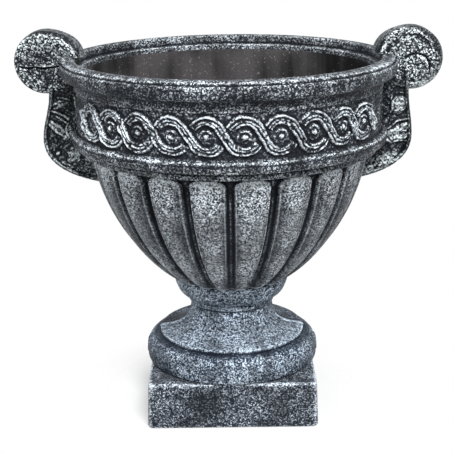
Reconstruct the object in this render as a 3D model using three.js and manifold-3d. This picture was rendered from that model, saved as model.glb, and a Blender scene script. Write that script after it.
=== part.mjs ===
// Two-handled footed planter vase, in millimetres, +Z up, standing on the ground at the origin.
import * as THREE from "three";
import { mergeVertices } from "three/addons/utils/BufferGeometryUtils.js";
import ManifoldModule from "manifold-3d";

const kernel = await ManifoldModule();
kernel.setup();
const { Manifold, Mesh: SolidMesh } = kernel;

// Heights, each band standing on the one below it
const plinthHeight = 46;
const footLipRise = 31;
const neckRise = 29;
const collarRise = 27;
const floorThickness = 14;
const lobedRise = 129;
const mouldingRise = 22;
const friezeHeight = 46;
const rimRise = 23;

const footLipHeight = plinthHeight + footLipRise;
const neckRingHeight = footLipHeight + neckRise;
const bowlSeatHeight = neckRingHeight + collarRise;
const floorHeight = bowlSeatHeight + floorThickness;
const lobeTopHeight = bowlSeatHeight + lobedRise;
const friezeBottom = lobeTopHeight + mouldingRise;
const friezeTop = friezeBottom + friezeHeight;
const rimHeight = friezeTop + rimRise;

// Plinth
const plinthHalfWidth = 83.5;
const plinthDraft = 1.5;
const plinthCornerRadius = 5;
const plinthEdgeRound = 2.5;

// Foot
const cushionRadius = plinthHalfWidth + 2;
const cushionSeatRadius = plinthHalfWidth - 3;
const footLipRadius = plinthHalfWidth - 11;
const footLipThickness = 5;
const neckRadius = 39.5;
const neckRingRadius = neckRadius + 3;
const collarRadius = neckRadius + 16.5;

// Bowl
const friezeRadius = 147;
const collarJoinRadius = collarRadius + 1.5;
const lobeCrestRadius = friezeRadius - 10;
const lobeCount = 20;
const lobeRiseTop = 7;
const lobeRiseBottom = 4;
const bowlWall = 7;
const mouldingRadius = friezeRadius + 5.5;
const rimRadius = friezeRadius + 14;
const mouthRadius = friezeRadius - 1;
const lipDepth = 9.5;
const floorRadius = 40;
const drainRadius = 13;

// Frieze pattern: eyes on an even spacing, with strands sized as shares of that spacing
const eyeSpacing = 12;
const lastEyeAngle = 66;
const eyePitch = friezeRadius * eyeSpacing * (Math.PI / 180);
const eyeRadius = 0.2 * eyePitch;
const strandRadius = 0.455 * eyePitch;
const strandWidth = 0.234 * eyePitch;
const reliefHeight = 2.6;
const friezeSink = 4;

// Handles
const bracketReach = 29;
const bracketDrop = 30.5;
const bracketBottom = lobeTopHeight - bracketDrop;
const voluteRadius = 30;
const voluteX = friezeRadius + 0.93 * bracketReach;
const voluteZ = rimHeight - 4.4;
const voluteThickness = 28;
const voluteRelief = 1.6;
const scrollEyeRadius = 0.433 * voluteRadius;
const bracketThickness = 32;
const panelDepth = 3.5;
const strapWidth = 5;

// Seats and fits
const seatGap = 0.35;
const handleGap = 0.5;
const footSpigotRadius = cushionSeatRadius - 20.5;
const footSpigotDepth = 5;
const bowlSpigotRadius = neckRadius - 1.5;
const bowlSpigotDepth = 8;
const footBoreRadius = drainRadius + 3;
const gasketInnerRadius = bowlSpigotRadius + 4;
const gasketOuterRadius = gasketInnerRadius + 8;
const gasketThickness = 2;

// Screws: shank radius, head radius, head height, thread bite past the seam
const screwRadius = 2.5;
const screwHeadRadius = 5.2;
const screwHeadHeight = 3.6;
const screwBite = 18;
const screwFit = 0.4;
const washerRadius = 7;
const washerThickness = 1.6;
const washerPocket = 1;
const screwsPerSeam = 3;
const footScrewCircle = bowlSpigotRadius - 11;
const plinthScrewCircle = footSpigotRadius - 14;
const plinthPocketDepth = 12;
const handleScrewHeights = [0.15, 0.7].map((share) => friezeBottom + share * friezeHeight);

// Facets
const bowlFacets = 40;
const facetsPerLobe = 6;
const footFacets = 32;
const scrollFacets = 24;
const smallFacets = 8;
const curveSteps = 2;
const weldDistance = 1e-4;
const smoothing = 0.05;
const degree = Math.PI / 180;

const stoneFinish = { color: 0x6a6f74, roughness: 0.72, metalness: 0.05 };
const steelFinish = { color: 0x9a9c9e, roughness: 0.35, metalness: 1 };
const rubberFinish = { color: 0x17181a, roughness: 0.9, metalness: 0 };

// Solids from three.js geometry, and back
function toSolid(geometry) {
  const bare = geometry.clone();
  bare.deleteAttribute("normal");
  bare.deleteAttribute("uv");
  const welded = mergeVertices(bare, weldDistance);
  const corners = Array.from(welded.index.array);
  const kept = [];
  for (let i = 0; i < corners.length; i += 3) {
    const [a, b, c] = corners.slice(i, i + 3);
    if (a !== b && b !== c && c !== a) kept.push(a, b, c);
  }
  return new Manifold(new SolidMesh({
    numProp: 3,
    vertProperties: new Float32Array(welded.attributes.position.array),
    triVerts: new Uint32Array(kept),
  }));
}

function toGeometry(solid) {
  const mesh = solid.getMesh();
  const geometry = new THREE.BufferGeometry();
  geometry.setAttribute("position", new THREE.BufferAttribute(mesh.vertProperties, 3));
  geometry.setIndex(new THREE.BufferAttribute(mesh.triVerts, 1));
  geometry.computeVertexNormals();
  return geometry;
}

// A profile of (radius, height) turned round the vertical axis
function revolve(points, facets) {
  return new THREE.LatheGeometry(points, facets).rotateX(Math.PI / 2);
}

function disc(radius, bottom, top, facets = smallFacets) {
  const outline = [[0, bottom], [radius, bottom], [radius, top], [0, top]];
  return toSolid(revolve(outline.map(([r, z]) => new THREE.Vector2(r, z)), facets));
}

function ring(innerRadius, outerRadius, bottom, top, facets) {
  return disc(outerRadius, bottom, top, facets)
    .subtract(disc(innerRadius, bottom - 1, top + 1, facets));
}

// A flat outline in X and Z given a thickness along Y, centred on the XZ plane
function slab(shape, thickness, bevel = 0, curveSegments = curveSteps * 2) {
  const geometry = new THREE.ExtrudeGeometry(shape, {
    depth: thickness - 2 * bevel,
    curveSegments,
    bevelEnabled: bevel > 0,
    bevelThickness: bevel,
    bevelSize: bevel,
    bevelOffset: -bevel,
    bevelSegments: 1,
  });
  return toSolid(geometry.rotateX(Math.PI / 2).translate(0, thickness / 2 - bevel, 0));
}

function circle(x, z, radius) {
  return new THREE.Shape().absarc(x, z, radius, 0, 2 * Math.PI);
}

function roller(x, z, radius, thickness, bevel = 0) {
  return slab(circle(x, z, radius), thickness, bevel, scrollFacets / 2);
}

// Plinth: a square block with rounded corners that narrows slightly to its top
function plinthBlock() {
  const half = plinthHalfWidth - plinthEdgeRound;
  const inner = half - plinthCornerRadius;
  const shape = new THREE.Shape();
  shape.absarc(inner, inner, plinthCornerRadius, 0, Math.PI / 2);
  shape.absarc(-inner, inner, plinthCornerRadius, Math.PI / 2, Math.PI);
  shape.absarc(-inner, -inner, plinthCornerRadius, Math.PI, 1.5 * Math.PI);
  shape.absarc(inner, -inner, plinthCornerRadius, 1.5 * Math.PI, 2 * Math.PI);
  const block = new THREE.ExtrudeGeometry(shape, {
    depth: plinthHeight - 2 * plinthEdgeRound,
    bevelThickness: plinthEdgeRound,
    bevelSize: plinthEdgeRound,
    bevelSegments: 1,
    curveSegments: 2,
  }).translate(0, 0, plinthEdgeRound);
  const place = block.attributes.position;
  for (let i = 0; i < place.count; i++) {
    const shrink = 1 - (plinthDraft / plinthHalfWidth) * (place.getZ(i) / plinthHeight);
    place.setXY(i, place.getX(i) * shrink, place.getY(i) * shrink);
  }
  return toSolid(block);
}

function plinthSolid() {
  let block = plinthBlock()
    .subtract(disc(footBoreRadius, -1, plinthHeight + 1, footFacets / 2))
    .subtract(disc(footSpigotRadius + seatGap, plinthHeight - footSpigotDepth - seatGap,
      plinthHeight + 1, footFacets));
  for (const angle of seamAngles()) {
    const [x, y] = onCircle(plinthScrewCircle, angle);
    block = block
      .subtract(disc(screwRadius + screwFit, -1, plinthHeight + 1).translate(x, y, 0))
      .subtract(disc(washerRadius + washerPocket, -1, plinthPocketDepth).translate(x, y, 0));
  }
  return block;
}

// Foot: cushion ring, thin lip, trumpet, neck ring and collar bead, bored through for drainage
function footProfile() {
  const bottom = plinthHeight + seatGap;
  const top = bowlSeatHeight - seatGap;
  const lipBottom = footLipHeight - footLipThickness;
  const cushionMiddle = (plinthHeight + lipBottom) / 2 + 1;
  const profile = new THREE.Path();
  profile.moveTo(footBoreRadius, plinthHeight - footSpigotDepth);
  profile.lineTo(footSpigotRadius, plinthHeight - footSpigotDepth);
  profile.lineTo(footSpigotRadius, bottom);
  profile.lineTo(cushionSeatRadius, bottom);
  profile.quadraticCurveTo(cushionRadius + 0.6, bottom + 1, cushionRadius, bottom + 6);
  profile.lineTo(cushionRadius - 0.3, cushionMiddle - 3);
  profile.quadraticCurveTo(cushionRadius - 1.5, lipBottom - 2.5, footLipRadius + 2.5, lipBottom);
  profile.lineTo(footLipRadius, lipBottom + 0.6);
  profile.lineTo(footLipRadius, footLipHeight - 1);
  profile.lineTo(footLipRadius - 1.5, footLipHeight);
  profile.bezierCurveTo(neckRadius + 12, footLipHeight + 0.5, neckRadius, footLipHeight + 8,
    neckRadius, neckRingHeight - 2);
  profile.lineTo(neckRingRadius, neckRingHeight - 1);
  profile.lineTo(neckRingRadius, neckRingHeight + 3.5);
  profile.lineTo(neckRingRadius - 1, neckRingHeight + 4.5);
  profile.quadraticCurveTo(collarRadius - 4, neckRingHeight + 7, collarRadius - 0.5, bowlSeatHeight - 8);
  profile.quadraticCurveTo(collarRadius + 0.8, bowlSeatHeight - 2.5, collarRadius - 2, top);
  profile.lineTo(gasketOuterRadius + seatGap, top);
  profile.lineTo(gasketOuterRadius + seatGap, top - gasketThickness);
  profile.lineTo(bowlSpigotRadius + seatGap, top - gasketThickness);
  profile.lineTo(bowlSpigotRadius + seatGap, bowlSeatHeight - bowlSpigotDepth - seatGap);
  profile.lineTo(footBoreRadius, bowlSeatHeight - bowlSpigotDepth - seatGap);
  profile.closePath();
  return profile.getPoints(curveSteps);
}

function footSolid() {
  let foot = toSolid(revolve(footProfile(), footFacets));
  const bore = screwRadius + screwFit;
  for (const angle of seamAngles()) {
    const [topX, topY] = onCircle(footScrewCircle, angle);
    const [baseX, baseY] = onCircle(plinthScrewCircle, angle);
    const seat = bowlSeatHeight - bowlSpigotDepth;
    const base = plinthHeight - footSpigotDepth;
    foot = foot
      .subtract(disc(bore, seat - screwBite - 2, seat + 1).translate(topX, topY, 0))
      .subtract(disc(bore, base - 1, base + screwBite + 2).translate(baseX, baseY, 0));
  }
  return foot;
}

// Bowl, lower half: the ground between the lobes, then the lobes on it
function lobeGround(share) {
  const curve = new THREE.CubicBezierCurve(
    new THREE.Vector2(collarJoinRadius - lobeRiseBottom, bowlSeatHeight),
    new THREE.Vector2(collarJoinRadius + 25, bowlSeatHeight + 0.147 * lobedRise),
    new THREE.Vector2(lobeCrestRadius - 15, bowlSeatHeight + 0.488 * lobedRise),
    new THREE.Vector2(lobeCrestRadius - lobeRiseTop, lobeTopHeight),
  );
  return curve.getPoint(share);
}

// Height of a lobe over its ground: round across, with an arched head
function lobeRise(height, angle) {
  const share = (height - bowlSeatHeight) / (lobeTopHeight - bowlSeatHeight);
  const turn = (angle / (2 * Math.PI)) * lobeCount;
  const across = Math.abs(2 * (turn - Math.floor(turn)) - 1);
  const archStart = 0.9;
  const headShare = Math.max(0, (share - archStart) / (1 - archStart));
  const arch = Math.sqrt(Math.max(0, 1 - headShare ** 2));
  if (across >= arch - 1e-6) return 0;
  const rise = THREE.MathUtils.lerp(lobeRiseBottom, lobeRiseTop, share);
  return rise * Math.sqrt(1 - (across / arch) ** 2.6);
}

function lobedSolid(grow, raise) {
  const shares = [0, 0.15, 0.38, 0.64, 0.87, 0.95, 1];
  const points = shares.map((share) => lobeGround(share));
  const first = new THREE.Vector2(0, bowlSeatHeight);
  const last = new THREE.Vector2(0, lobeTopHeight);
  const body = revolve([first, ...points, last], lobeCount * facetsPerLobe);
  const place = body.attributes.position;
  for (let i = 0; i < place.count; i++) {
    const [x, y, z] = [place.getX(i), place.getY(i), place.getZ(i)];
    const radius = Math.hypot(x, y);
    if (radius < 1) continue;
    const scale = (radius + raise * lobeRise(z, Math.atan2(x, -y)) + grow) / radius;
    place.setXY(i, x * scale, y * scale);
  }
  return toSolid(body);
}

// Bowl, upper half: thin bead, roll, plain band, hollow and rolled rim, as a closed profile
function bandProfile(grow) {
  const profile = new THREE.Path();
  const tuck = lobeTopHeight - 5;
  const groove = lobeTopHeight + 0.34 * mouldingRise;
  profile.moveTo(0, tuck);
  profile.lineTo(lobeCrestRadius - lobeRiseTop - 4 + grow, tuck);
  profile.lineTo(lobeCrestRadius + 3 + grow, lobeTopHeight + 1);
  profile.quadraticCurveTo(lobeCrestRadius + 9 + grow, groove - 3,
    lobeCrestRadius + 5 + grow, groove - 0.5);
  profile.lineTo(friezeRadius - 3 + grow, groove + 0.5);
  profile.quadraticCurveTo(mouldingRadius + 1.5 + grow, groove + 1, mouldingRadius + grow, groove + 7);
  profile.quadraticCurveTo(mouldingRadius - 0.5 + grow, friezeBottom - 2,
    friezeRadius + grow, friezeBottom);
  profile.lineTo(friezeRadius + grow, friezeTop);
  profile.quadraticCurveTo(friezeRadius + 2 + grow, friezeTop + 4, rimRadius - 5 + grow, friezeTop + 5.5);
  profile.quadraticCurveTo(rimRadius + 1 + grow, friezeTop + 7, rimRadius + grow, rimHeight - 9);
  profile.lineTo(rimRadius - 0.5 + grow, rimHeight - 5);
  profile.lineTo(rimRadius - 2.4 + grow, rimHeight - 4.2);
  profile.lineTo(rimRadius - 2.4 + grow, rimHeight - 2.2 + grow);
  profile.quadraticCurveTo(rimRadius - 4 + grow, rimHeight + grow, mouthRadius + 3, rimHeight + grow);
  profile.lineTo(0, rimHeight + grow);
  return profile.getPoints(curveSteps);
}

// Outline of the whole bowl without its frieze, grown by a gap: what a handle is scribed to
function bowlOutside(grow) {
  const lower = lobedSolid(grow, 1);
  return lower.add(toSolid(revolve(bandProfile(grow), bowlFacets)));
}

function cavitySolid() {
  const wallRadius = friezeRadius - bowlWall;
  const cavity = new THREE.Path();
  cavity.moveTo(0, floorHeight);
  cavity.lineTo(floorRadius, floorHeight);
  cavity.bezierCurveTo(floorRadius + 28, floorHeight + 5, lobeCrestRadius - 32,
    bowlSeatHeight + 0.496 * lobedRise, wallRadius - 2 * bowlWall, lobeTopHeight - 3);
  cavity.quadraticCurveTo(wallRadius - 1, friezeBottom - 6, wallRadius, friezeBottom + 4);
  cavity.lineTo(wallRadius, rimHeight - lipDepth - 0.5);
  cavity.lineTo(mouthRadius - 0.6, rimHeight - lipDepth);
  cavity.lineTo(mouthRadius, rimHeight - 3);
  cavity.lineTo(mouthRadius + 4, rimHeight + 1);
  cavity.lineTo(0, rimHeight + 1);
  return toSolid(revolve(cavity.getPoints(curveSteps + 1), bowlFacets));
}

// Frieze: eyes linked by S-shaped strands, laid flat first and then wrapped on the band
function strandLine(withHead, withTail) {
  const lean = Math.acos((2 * strandRadius) / eyePitch);
  const tuckAngle = 140 * degree;
  const points = [];
  const steps = 3;
  for (let i = 0; i <= steps && withHead; i++) {
    const angle = THREE.MathUtils.lerp(tuckAngle, lean, i / steps);
    points.push(new THREE.Vector2(Math.cos(angle), Math.sin(angle)).multiplyScalar(strandRadius));
  }
  if (!withHead || !withTail) points.push(new THREE.Vector2(eyePitch / 2, 0));
  for (let i = 0; i <= steps && withTail; i++) {
    const angle = Math.PI + THREE.MathUtils.lerp(lean, tuckAngle, i / steps);
    const bend = new THREE.Vector2(Math.cos(angle), Math.sin(angle)).multiplyScalar(strandRadius);
    points.push(bend.add(new THREE.Vector2(eyePitch, 0)));
  }
  return points;
}

function ribbonShape(line, width) {
  const left = [];
  const right = [];
  line.forEach((point, i) => {
    const before = line[Math.max(0, i - 1)];
    const after = line[Math.min(line.length - 1, i + 1)];
    const along = after.clone().sub(before).normalize();
    const side = new THREE.Vector2(-along.y, along.x).multiplyScalar(width / 2);
    left.push(point.clone().add(side));
    right.unshift(point.clone().sub(side));
  });
  return new THREE.Shape([...left, ...right]);
}

function wrapOnBand(shape, height, angle) {
  const sunk = 2;
  const depth = height + sunk;
  const flat = new THREE.ExtrudeGeometry(shape, { depth, bevelEnabled: false, curveSegments: 4 });
  const place = flat.attributes.position;
  const middle = (friezeBottom + friezeTop) / 2 - friezeSink;
  for (let i = 0; i < place.count; i++) {
    const turn = place.getX(i) / friezeRadius + angle;
    const radius = friezeRadius - sunk + place.getZ(i);
    place.setXYZ(i, radius * Math.sin(turn), -radius * Math.cos(turn), middle + place.getY(i));
  }
  return toSolid(flat);
}

function friezeSolid() {
  const pieces = [];
  for (const side of [0, Math.PI]) {
    for (let eye = -lastEyeAngle - eyeSpacing; eye <= lastEyeAngle; eye += eyeSpacing) {
      const angle = side + eye * degree;
      const withHead = eye >= -lastEyeAngle;
      const withTail = eye < lastEyeAngle;
      const strand = ribbonShape(strandLine(withHead, withTail), strandWidth);
      pieces.push(wrapOnBand(strand, reliefHeight, angle));
      if (withHead) pieces.push(wrapOnBand(circle(0, 0, eyeRadius), reliefHeight + 0.6, angle));
    }
  }
  return Manifold.union(pieces);
}

function bowlSolid() {
  const spigot = disc(bowlSpigotRadius, bowlSeatHeight - bowlSpigotDepth, bowlSeatHeight + 2, footFacets);
  let bowl = Manifold.union([bowlOutside(0), spigot, friezeSolid()])
    .subtract(cavitySolid())
    .subtract(disc(drainRadius, bowlSeatHeight - bowlSpigotDepth - 1, floorHeight + 1, footFacets / 2));
  for (const angle of seamAngles()) {
    const [x, y] = onCircle(footScrewCircle, angle);
    bowl = bowl.subtract(disc(screwRadius + screwFit, bowlSeatHeight - bowlSpigotDepth - 1, floorHeight + 1)
      .translate(x, y, 0));
  }
  for (const height of handleScrewHeights) {
    const length = 2 * friezeRadius + 20;
    const bore = disc(screwRadius + screwFit, -length / 2, length / 2);
    const spotFace = disc(washerRadius + washerPocket, -handleSeatX(), handleSeatX());
    bowl = bowl.subtract(alongX(bore, 0, height)).subtract(alongX(spotFace, 0, height));
  }
  return bowl.simplify(smoothing);
}

// Handles: a scroll roll over the rim and a bracket below it, scribed to the bowl.
// Places on the bracket are shares of its reach from the band and of its height below the roll.
function bracketX(share) {
  return friezeRadius + share * bracketReach;
}

function bracketZ(share) {
  return bracketBottom + share * (voluteZ - bracketBottom);
}

function bracketShape(inset) {
  const shape = new THREE.Shape();
  const outer = bracketX(1) - inset;
  const innerX = friezeRadius - 40;
  const bottom = bracketBottom + inset;
  const stemX = bracketX(0.855) - inset;
  shape.moveTo(innerX, bottom);
  shape.lineTo(bracketX(-1.05), bottom);
  shape.bezierCurveTo(bracketX(0.11), bracketZ(0.038) + inset, outer, bracketZ(0.158) + inset,
    outer, bracketZ(0.37));
  shape.bezierCurveTo(outer, bracketZ(0.517), stemX, bracketZ(0.585), stemX, bracketZ(0.74));
  shape.lineTo(stemX, bracketZ(0.93));
  shape.lineTo(innerX, bracketZ(0.93));
  shape.closePath();
  return shape;
}

function handleRelief() {
  const bosses = [
    { across: 0.49, up: 0.655, wide: 0.26, tall: 0.29, lean: -20 },
    { across: 0.42, up: 0.463, wide: 0.45, tall: 0.26, lean: 25 },
    { across: 0.35, up: 0.266, wide: 0.42, tall: 0.35, lean: -30 },
  ];
  return bosses.map(({ across, up, wide, tall, lean }) => {
    const boss = new THREE.SphereGeometry(1, 12, 8)
      .scale(wide * bracketReach, bracketThickness / 2 - 0.6, tall * bracketReach);
    return toSolid(boss.rotateY(lean * degree).translate(bracketX(across), 0, bracketZ(up)));
  });
}

function scrollSolid() {
  const eyeX = voluteX + 0.155 * voluteRadius;
  const eyeZ = voluteZ - 0.294 * voluteRadius;
  const core = roller(voluteX, voluteZ, voluteRadius - 0.2, voluteThickness - 2 * voluteRelief);
  const neckX = voluteX - 0.2 * voluteRadius;
  const neck = roller(neckX, voluteZ, voluteRadius - 0.4, voluteThickness - 2 * voluteRelief);
  const turn = roller(voluteX, voluteZ, voluteRadius, voluteThickness, 1.5)
    .subtract(roller(eyeX - 1, eyeZ + 2, 0.634 * voluteRadius, voluteThickness + 2));
  const eye = roller(eyeX, eyeZ, scrollEyeRadius, voluteThickness + 1, 2);
  return Manifold.union([core, neck, turn, eye]);
}

function handleSolid(side) {
  const strap = slab(bracketShape(0), bracketThickness, 1.5).subtract(
    slab(bracketShape(strapWidth), bracketThickness + 2));
  const panel = slab(bracketShape(1), bracketThickness - 2 * panelDepth);
  const blank = Manifold.union([strap, panel, ...handleRelief(), scrollSolid()]);
  let handle = (side < 0 ? blank.mirror([1, 0, 0]) : blank).subtract(bowlOutside(handleGap));
  for (const height of handleScrewHeights) {
    const tip = friezeRadius + screwBite + 2;
    const bore = alongX(disc(screwRadius + screwFit, handleSeatX(), tip), 0, height);
    handle = handle.subtract(side < 0 ? bore.mirror([1, 0, 0]) : bore);
  }
  return handle.simplify(smoothing);
}

// Screws and washers, modelled upright with the head's underside at zero and the shank pointing down
function screwSolid(length) {
  const outline = [
    [0, -length], [screwRadius, -length + screwRadius], [screwRadius, 0],
    [screwHeadRadius, 0], [screwHeadRadius, screwHeadHeight], [0, screwHeadHeight],
  ];
  return toSolid(revolve(outline.map(([r, z]) => new THREE.Vector2(r, z)), smallFacets));
}

function washerSolid() {
  return ring(screwRadius + screwFit, washerRadius, 0, washerThickness, smallFacets);
}

function seamAngles() {
  return Array.from({ length: screwsPerSeam }, (_, i) => (i * 2 * Math.PI) / screwsPerSeam);
}

function onCircle(radius, angle) {
  return [radius * Math.sin(angle), -radius * Math.cos(angle)];
}

function alongX(solid, x, z) {
  return solid.rotate([0, 90, 0]).translate(x, 0, z);
}

function handleSeatX() {
  return friezeRadius - bowlWall + 1.5;
}

// Scene graph
const vase = new THREE.Group();

function addPart(name, solid, finish) {
  const mesh = new THREE.Mesh(toGeometry(solid), new THREE.MeshStandardMaterial(finish));
  mesh.name = name;
  vase.add(mesh);
  return mesh;
}

addPart("plinth", plinthSolid(), stoneFinish);
addPart("foot", footSolid(), stoneFinish);
addPart("bowl", bowlSolid(), stoneFinish);

addPart("handle_right", handleSolid(1), stoneFinish);
addPart("handle_left", handleSolid(-1), stoneFinish);

const gasketBottom = bowlSeatHeight - seatGap - gasketThickness + seatGap / 2;
addPart("foot_gasket", ring(gasketInnerRadius, gasketOuterRadius, gasketBottom,
  gasketBottom + gasketThickness, footFacets), rubberFinish);

const washer = washerSolid();
const footWasherZ = floorHeight + seatGap;
const footScrew = screwSolid(floorHeight - bowlSeatHeight + bowlSpigotDepth + screwBite);
const plinthWasherZ = plinthPocketDepth - seatGap - washerThickness;
const plinthScrew = screwSolid(plinthHeight - footSpigotDepth - plinthPocketDepth + screwBite);
seamAngles().forEach((angle, i) => {
  const [topX, topY] = onCircle(footScrewCircle, angle);
  const [baseX, baseY] = onCircle(plinthScrewCircle, angle);
  const footHeadZ = footWasherZ + washerThickness + seatGap;
  addPart(`foot_washer_${i + 1}`, washer, steelFinish).position.set(topX, topY, footWasherZ);
  addPart(`foot_screw_${i + 1}`, footScrew, steelFinish).position.set(topX, topY, footHeadZ);
  addPart(`plinth_washer_${i + 1}`, washer, steelFinish).position.set(baseX, baseY, plinthWasherZ);
  const screw = addPart(`plinth_screw_${i + 1}`, plinthScrew, steelFinish);
  screw.position.set(baseX, baseY, plinthWasherZ - seatGap);
  screw.rotation.x = Math.PI;
});

const handleScrew = screwSolid(friezeRadius - handleSeatX() + screwBite);
for (const [sideName, side] of [["left", -1], ["right", 1]]) {
  handleScrewHeights.forEach((height, i) => {
    const level = ["lower", "upper"][i];
    const washerX = side * (handleSeatX() - seatGap);
    const headX = side * (handleSeatX() - 2 * seatGap - washerThickness);
    const ringMesh = addPart(`handle_washer_${sideName}_${level}`, washer, steelFinish);
    ringMesh.position.set(washerX, 0, height);
    ringMesh.rotation.y = (-side * Math.PI) / 2;
    const screw = addPart(`handle_screw_${sideName}_${level}`, handleScrew, steelFinish);
    screw.position.set(headX, 0, height);
    screw.rotation.y = (-side * Math.PI) / 2;
  });
}

export default vase;
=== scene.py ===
import math

import bpy
import numpy as np
from mathutils import Matrix, Vector


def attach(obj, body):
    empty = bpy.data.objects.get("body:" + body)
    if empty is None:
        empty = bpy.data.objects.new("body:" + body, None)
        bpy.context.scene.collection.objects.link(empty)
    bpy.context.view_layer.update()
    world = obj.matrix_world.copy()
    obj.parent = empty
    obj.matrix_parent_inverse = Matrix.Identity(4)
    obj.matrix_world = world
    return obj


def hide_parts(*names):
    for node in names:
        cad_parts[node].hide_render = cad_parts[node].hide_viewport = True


# Two-handled planter vase: dark cast body, dry-brushed with silver grey.
# Lengths in the dictionaries are millimetres; meshes are written in metres.
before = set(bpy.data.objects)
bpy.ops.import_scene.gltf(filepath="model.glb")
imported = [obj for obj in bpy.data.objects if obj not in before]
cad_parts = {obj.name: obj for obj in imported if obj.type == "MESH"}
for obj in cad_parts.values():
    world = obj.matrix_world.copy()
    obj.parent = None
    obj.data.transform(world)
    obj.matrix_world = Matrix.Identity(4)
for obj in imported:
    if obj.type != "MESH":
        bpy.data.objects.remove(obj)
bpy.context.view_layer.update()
mm = 0.001
tau = 2 * math.pi
print("frame loaded:", len(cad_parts), "nodes")

# Camera: a tabletop view from a little above the rim
view = {
    "distance": 1100, "height": 510, "aimHeight": 180,
    "lens": 91.0, "roll": -0.013, "shiftX": -0.008,
}


def addCamera():
    data = bpy.data.cameras.new("studioCamera")
    data.lens = view["lens"]
    data.shift_x = view["shiftX"]
    camera = bpy.data.objects.new("studioCamera", data)
    pitch = math.atan2(view["height"] - view["aimHeight"], view["distance"])
    place = Matrix.Translation((0, -view["distance"] * mm, view["height"] * mm))
    tilt = Matrix.Rotation(math.pi / 2 - pitch, 4, "X")
    camera.matrix_world = place @ tilt @ Matrix.Rotation(view["roll"], 4, "Z")
    bpy.context.scene.collection.objects.link(camera)
    bpy.context.scene.camera = camera


addCamera()
print("camera set")


# Small curve and mesh tools
def ease(value, low, high):
    t = np.clip((value - low) / (high - low), 0, 1)
    return t * t * (3 - 2 * t)


def hill(value, width):
    return np.exp(-(value / width) ** 2)


def bezier(points, count):
    t = np.linspace(0, 1, count)[:, None]
    a, b, c, d = [np.array(p, float) for p in points]
    return (1 - t) ** 3 * a + 3 * (1 - t) ** 2 * t * b + 3 * (1 - t) * t ** 2 * c + t ** 3 * d


def roundedLine(corners, closed=False):      # each corner is (x, y, rounding)
    points = []
    count = len(corners)
    for i, (x, y, rounding) in enumerate(corners):
        here = np.array((x, y), float)
        if not closed and i in (0, count - 1) or rounding == 0:
            points.append(here)
            continue
        before = np.array(corners[i - 1][:2], float) - here
        after = np.array(corners[(i + 1) % count][:2], float) - here
        back, ahead = np.linalg.norm(before), np.linalg.norm(after)
        cut = min(rounding, back * 0.5, ahead * 0.5)
        start, end = here + before / back * cut, here + after / ahead * cut
        for t in np.linspace(0, 1, 7):
            points.append((1 - t) ** 2 * start + 2 * (1 - t) * t * here + t * t * end)
    return np.array(points)


def resample(points, spacing):
    points = np.asarray(points, float)
    step = np.linalg.norm(np.diff(points, axis=0), axis=1)
    along = np.concatenate([[0], np.cumsum(step)])
    count = max(2, int(round(along[-1] / spacing)) + 1)
    wanted = np.linspace(0, along[-1], count)
    return np.stack([np.interp(wanted, along, column) for column in points.T], axis=1)


# grid[row, column] is a point; the columns always close on themselves; ends: rows to fill, 0 or -1
def gridMesh(name, grid, closeRows=False, ends=()):
    rows, columns = grid.shape[:2]
    points = grid.reshape(-1, 3)
    i = np.arange(rows if closeRows else rows - 1)[:, None]
    j = np.arange(columns)[None, :]
    nextI, nextJ = (i + 1) % rows, (j + 1) % columns
    quads = np.stack([i * columns + j, i * columns + nextJ,
                      nextI * columns + nextJ, nextI * columns + j], axis=-1).reshape(-1, 4)
    faces = [quads]
    around, last = np.arange(columns), (rows - 1) * columns
    after = (around + 1) % columns
    for row in ends:
        first, second = (after, around) if row == 0 else (last + around, last + after)
        faces.append(np.stack([first, second, np.full(columns, len(points))], axis=1))
        points = np.vstack([points, grid[row].mean(axis=0)])
    return meshFromArrays(name, points * mm, faces)


def meshFromArrays(name, points, faceBlocks):
    mesh = bpy.data.meshes.new(name)
    loops = np.concatenate([block.reshape(-1) for block in faceBlocks])
    sizes = np.concatenate([np.full(len(block), block.shape[1]) for block in faceBlocks])
    mesh.vertices.add(len(points))
    mesh.vertices.foreach_set("co", np.ascontiguousarray(points, dtype=np.float32).reshape(-1))
    mesh.loops.add(len(loops))
    mesh.loops.foreach_set("vertex_index", loops.astype(np.int32))
    mesh.polygons.add(len(sizes))
    starts = np.concatenate([[0], np.cumsum(sizes)[:-1]])
    mesh.polygons.foreach_set("loop_start", starts.astype(np.int32))
    mesh.update(calc_edges=True)
    mesh.validate()
    piece = bpy.data.objects.new(name, mesh)
    bpy.context.scene.collection.objects.link(piece)
    return piece


def vertexArray(piece):
    data = np.empty(len(piece.data.vertices) * 3, dtype=np.float32)
    piece.data.vertices.foreach_get("co", data)
    return data.reshape(-1, 3) / mm


def storeValue(piece, name, values):
    layer = piece.data.attributes.get(name) or piece.data.attributes.new(name, "FLOAT", "POINT")
    layer.data.foreach_set("value", np.ascontiguousarray(values, dtype=np.float32))


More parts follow.
